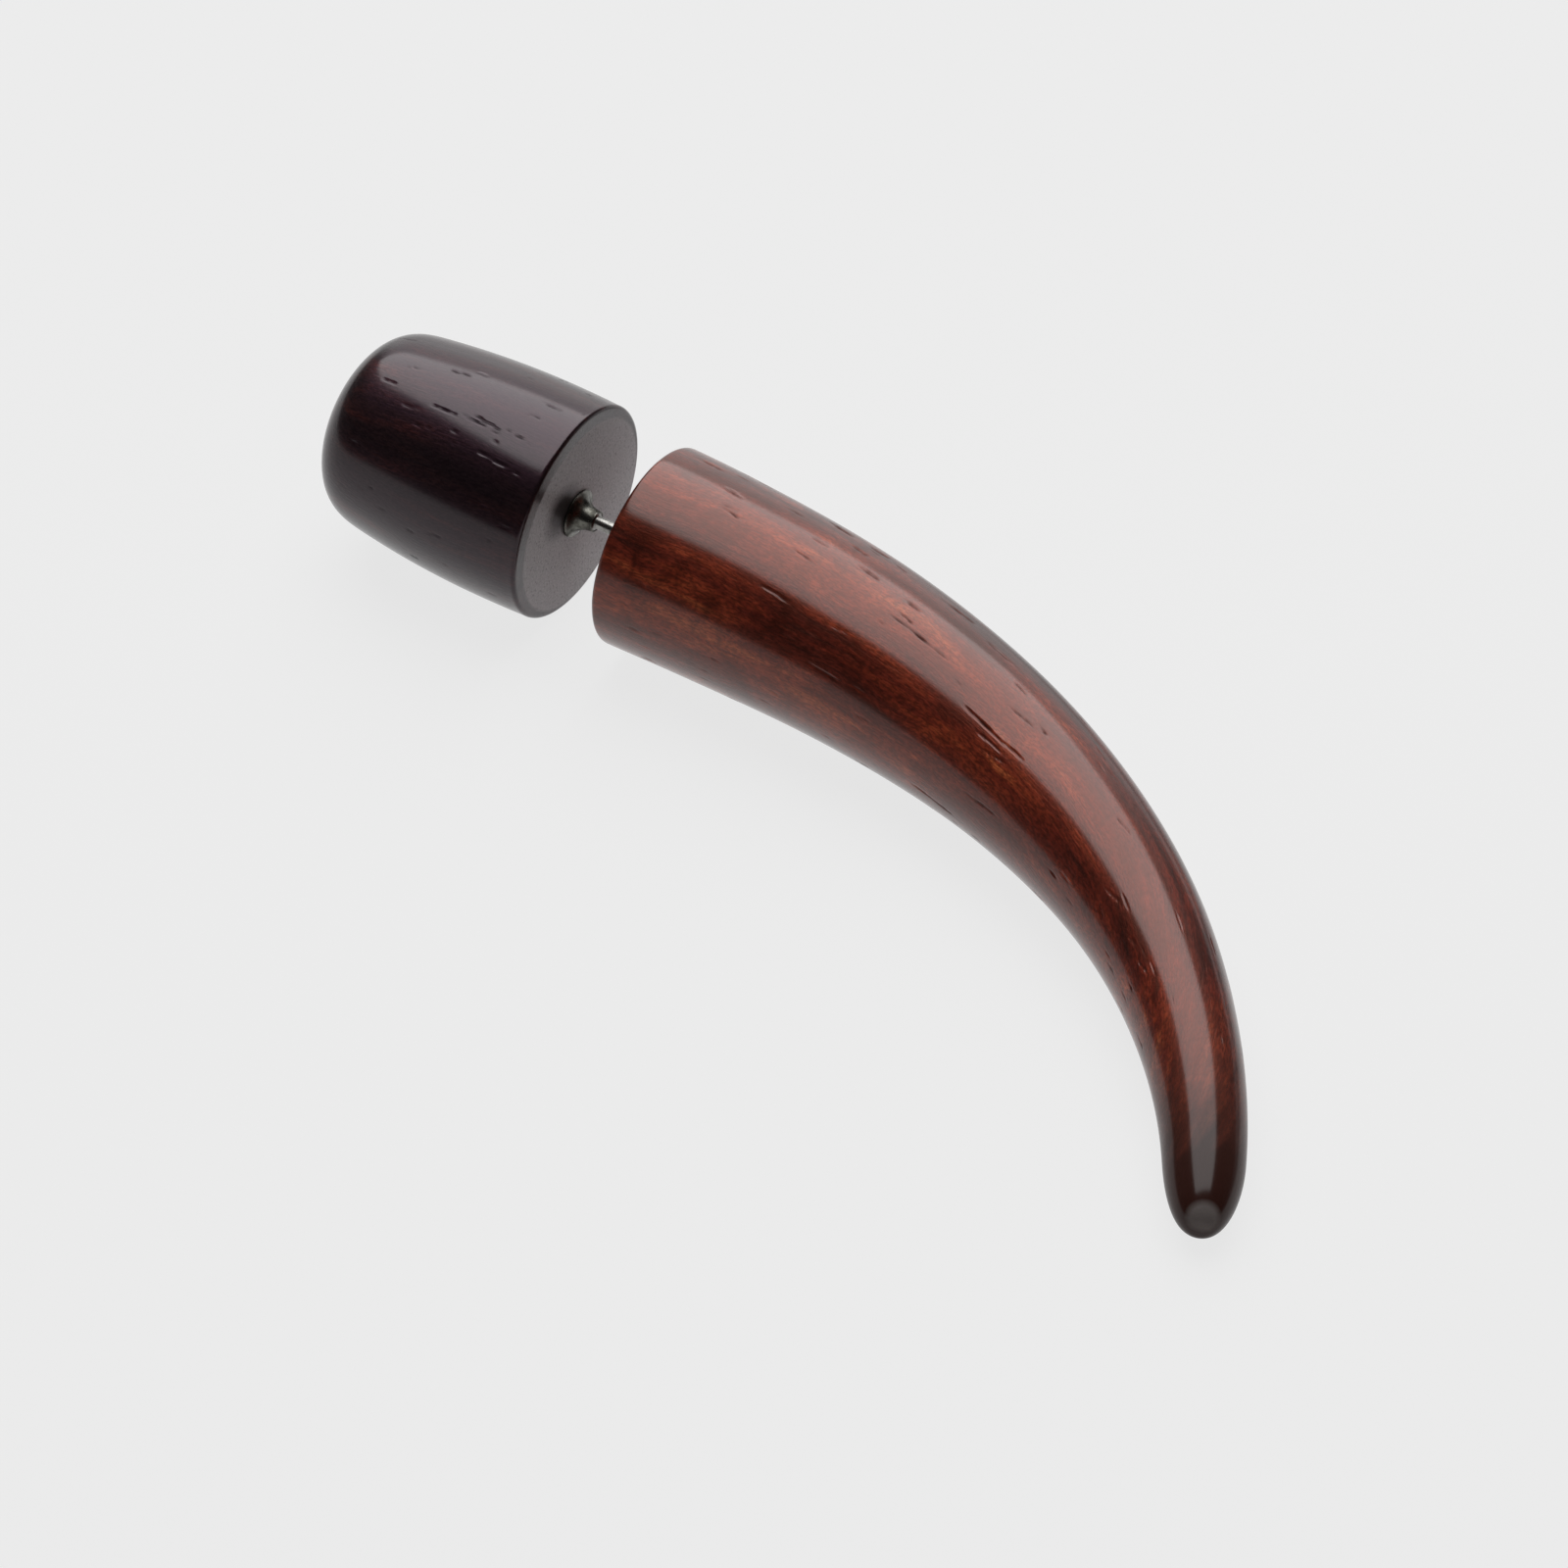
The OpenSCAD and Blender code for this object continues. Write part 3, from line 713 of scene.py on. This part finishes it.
def post_profile():
    """Root with half-round grooves evenly spaced along it, a step down to the shank, a slight taper,
    and the plug with a hemispherical nose."""
    groove_step = (cap_face - post_start) / (groove_count + 1)
    bow = np.radians(np.linspace(0, 180, 9))
    x, r = [post_start, post_start, post_start + 0.03 * mm], [0.5 * root_r, root_r - 0.03 * mm, root_r]
    for i in range(1, groove_count + 1):
        x += list(post_start + i * groove_step - groove_r * np.cos(bow))
        r += list(root_r - groove_r * np.sin(bow))
    x += [collar_end - 0.02 * mm, collar_end, collar_end, collar_end + 0.03 * mm, shank_end - 0.02 * mm]
    r += [root_r, root_r - 0.02 * mm, shank_r + 0.03 * mm, shank_r, shank_r]
    x += [shank_end + 0.02 * mm, shank_end + plug_ease, shank_end + plug_ease + 0.05 * mm]
    r += [shank_r - 0.002 * mm, plug_r, plug_r]
    nose = np.radians(np.linspace(0, 82, 10))
    x += list(post_end - plug_r + plug_r * np.sin(nose))
    r += list(plug_r * np.cos(nose))
    return np.array(x), np.array(r)


post_rings = turn_profile(*post_profile(), STEEL_SIDES)
post = ring_mesh("ear_post_steel", post_rings, post_rings)
post.data.materials.append(
    steel("Drawn post steel", (0.33, 0.322, 0.306), (0.17, 0.166, 0.155), 0.24, 0.4, 0.002 * mm))
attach(post, "cap_half")
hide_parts("ear_post")

# --- Root glue ---
# Cured clear epoxy that fills the socket around the grooved root of the post. It has small bubbles, and it
# is only seen when the piece comes apart.


def amber_glue():
    """Amber epoxy with darker clouds and small bubbles."""
    material, tree, shader = start_material("Cured epoxy")
    place = put(tree, "TexCoord").outputs["Object"]
    cloud = put(tree, "TexNoise", {"Vector": place, "Scale": 700.0, "Detail": 3.0}).outputs["Fac"]
    bubbles = put(tree, "TexVoronoi", {"Vector": place, "Scale": 2600.0}).outputs["Distance"]
    amber = ramp(tree, cloud, [(0.3, (0.36, 0.24, 0.09)), (0.7, (0.66, 0.52, 0.27))])
    tree.links.new(amber, shader["Base Color"])
    tree.links.new(ramp(tree, bubbles, [(0.1, 0.5), (0.4, 0.15)]), shader["Roughness"])
    bump = put(tree, "Bump", {"Strength": 0.4, "Distance": 0.02 * mm, "Height": bubbles})
    tree.links.new(bump.outputs[0], shader["Normal"])
    return material


def glue_profile():
    """A plug that fills the socket, less the root of the post with its grooves."""
    start, end = span("root_glue")
    x, r = post_profile()
    inside = x < end
    x, r = x[inside], r[inside]
    out_x = [end, end, end - 0.02 * mm, start + 0.02 * mm, start, start]
    out_r = [root_r + 0.03 * mm, socket_r - 0.02 * mm, socket_r, socket_r, socket_r - 0.02 * mm, 0.3 * mm]
    return np.concatenate([x, [end], out_x]), np.concatenate([r, [root_r], out_r])


glue = ring_mesh("root_glue_epoxy", turn_profile(*glue_profile(), STEEL_SIDES))
glue.data.materials.append(amber_glue())
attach(glue, "cap_half")
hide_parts("root_glue")

# --- Camera ---
# A long lens from just under half a metre, turned about the horn's base, well above the table and to the
# right of square on. It aims a little to the right of the base and below it.
view_height, view_turn, view_distance = math.radians(42.5), math.radians(31.74), 0.45
aim_right, aim_up = 8.23 * mm, -9.49 * mm
lens_length, sensor_width = 169.3, 36.0
back = np.array([
    math.sin(view_turn) * math.cos(view_height),
    -math.cos(view_turn) * math.cos(view_height),
    math.sin(view_height),
])
right = np.array([math.cos(view_turn), math.sin(view_turn), 0.0])
over = np.cross(back, right)
away = np.array([-math.sin(view_turn), math.cos(view_turn), 0.0])
rest_point = lay(np.array([horn_start, 0.0, 0.0]))
rest_point[2] = min(corner[2] for corner in cad_box)
camera = bpy.data.objects.new("camera", bpy.data.cameras.new("camera"))
camera.data.lens = lens_length
camera.data.sensor_width = sensor_width
camera.data.clip_start = 0.02
seat = rest_point + back * view_distance + right * aim_right + over * aim_up
turned = np.column_stack([right, over, back])
camera.matrix_world = Matrix([[*turned[i], seat[i]] for i in range(3)] + [[0, 0, 0, 1]])
bpy.context.scene.collection.objects.link(camera)
bpy.context.scene.camera = camera

# --- Table ---
# A plain white light table, level under the three points that the piece rests on. It is not part of the
# piece, and its own glow keeps the shadows on it faint.
table_half = 4.0
lit_shade, lit_glow = 0.55, 0.25
seen_shade, seen_glow = 0.065, 0.771
mirrored_shade, front_glow, side_glow, behind_glow = 0.05, 0.66, 0.06, 0.60
side_turn = math.radians(30)


def light_table():
    """Matt white glass lit from below. What the camera sees is mostly its own even glow, so the shadows
    on it are faint. The piece is lit by it as by a plain white table, and mirrors a table that is pale
    in front and behind and dim past the outside of the horn's bend."""
    material, tree, shader = start_material("Light table")
    path = put(tree, "LightPath").outputs
    place = vector_sum(tree, put(tree, "TexCoord").outputs["Object"], tuple(rest_point), "SUBTRACT")
    outward = tuple(right * math.cos(side_turn) + away * math.sin(side_turn))
    past_bend = vector_sum(tree, place, outward, "DOT_PRODUCT")
    beyond = vector_sum(tree, place, tuple(away), "DOT_PRODUCT")
    front = ranged(tree, past_bend, 20 * mm, 40 * mm, front_glow, side_glow)
    behind = ranged(tree, beyond, 5 * mm, 35 * mm, 0.0, behind_glow)
    mirrored = sum_of(tree, front, behind, "MAXIMUM")
    levels = []
    for lit, gloss, straight in ((lit_shade, mirrored_shade, seen_shade), (lit_glow, mirrored, seen_glow)):
        bounced = put(tree, "Mix", {0: path["Is Glossy Ray"], 2: lit, 3: gloss}).outputs[0]
        levels.append(put(tree, "Mix", {0: path["Is Camera Ray"], 2: bounced, 3: straight}).outputs[0])
    shade, own = levels
    grey = put(tree, "CombineColor", {0: shade, 1: shade, 2: shade}).outputs[0]
    tree.links.new(grey, shader["Base Color"])
    tree.links.new(own, shader["Emission Strength"])
    shader["Emission Color"].default_value = (1, 1, 1, 1)
    shader["Roughness"].default_value = 1.0
    shader["Specular IOR Level"].default_value = 0.0
    return material


corners = [(x * table_half, y * table_half, rest_point[2]) for x, y in ((-1, -1), (1, -1), (1, 1), (-1, 1))]
table_mesh = bpy.data.meshes.new("table")
table_mesh.from_pydata(corners, [], [(0, 1, 2, 3)])
table = bpy.data.objects.new("table", table_mesh)
table.data.materials.append(light_table())
bpy.context.scene.collection.objects.link(table)

# --- Light ---
# One large soft box overhead and a little behind the piece, and a studio that is dark but for a pale
# stretch low down behind the table. The camera itself sees a pale room.
box_tilt, box_distance, box_size, box_watts = math.radians(25.2), 0.7, (0.78, 0.975), 7.5
room_pale, room_dark, room_seen = 0.9, 0.025, 0.84
box_way = away * math.sin(box_tilt) + np.array([0, 0, math.cos(box_tilt)])
box = bpy.data.objects.new("soft_box", bpy.data.lights.new("soft_box", "AREA"))
box.data.shape = "RECTANGLE"
box.data.size, box.data.size_y = box_size
box.data.energy = box_watts
box_up = np.cross(box_way, right)
box_turned = np.column_stack([right, box_up, box_way])
box_seat = rest_point + box_way * box_distance
box.matrix_world = Matrix([[*box_turned[i], box_seat[i]] for i in range(3)] + [[0, 0, 0, 1]])
bpy.context.scene.collection.objects.link(box)

world = bpy.data.worlds.new("studio")
bpy.context.scene.world = world
world.use_nodes = True
room = world.node_tree
room.nodes.clear()
look = put(room, "TexCoord").outputs["Generated"]
behind = vector_sum(room, look, tuple(away), "DOT_PRODUCT")
sideways = vector_sum(room, look, tuple(right), "DOT_PRODUCT")
height = put(room, "SeparateXYZ", {0: look}).outputs[2]
far_side = ranged(room, behind, 0.35, 0.7)
low_down = ranged(room, height, 0.6, 0.4)
off_centre = sum_of(room, sum_of(room, sideways, 0.1, "SUBTRACT"), 0, "ABSOLUTE")
near_centre = ranged(room, off_centre, 0.52, 0.32)
glow = sum_of(room, sum_of(room, far_side, low_down, "MULTIPLY"), near_centre, "MULTIPLY")
level = ranged(room, glow, 0.0, 1.0, room_dark, room_pale)
seen = put(room, "LightPath").outputs["Is Camera Ray"]
strength = put(room, "Mix", {0: seen, 2: level, 3: room_seen}).outputs[0]
backdrop = put(room, "Background", {"Color": (1, 1, 1, 1), "Strength": strength})
room.links.new(backdrop.outputs[0], put(room, "OutputWorld").inputs[0])
bpy.context.scene.view_settings.view_transform = "Standard"
bpy.context.scene.view_settings.look = "None"
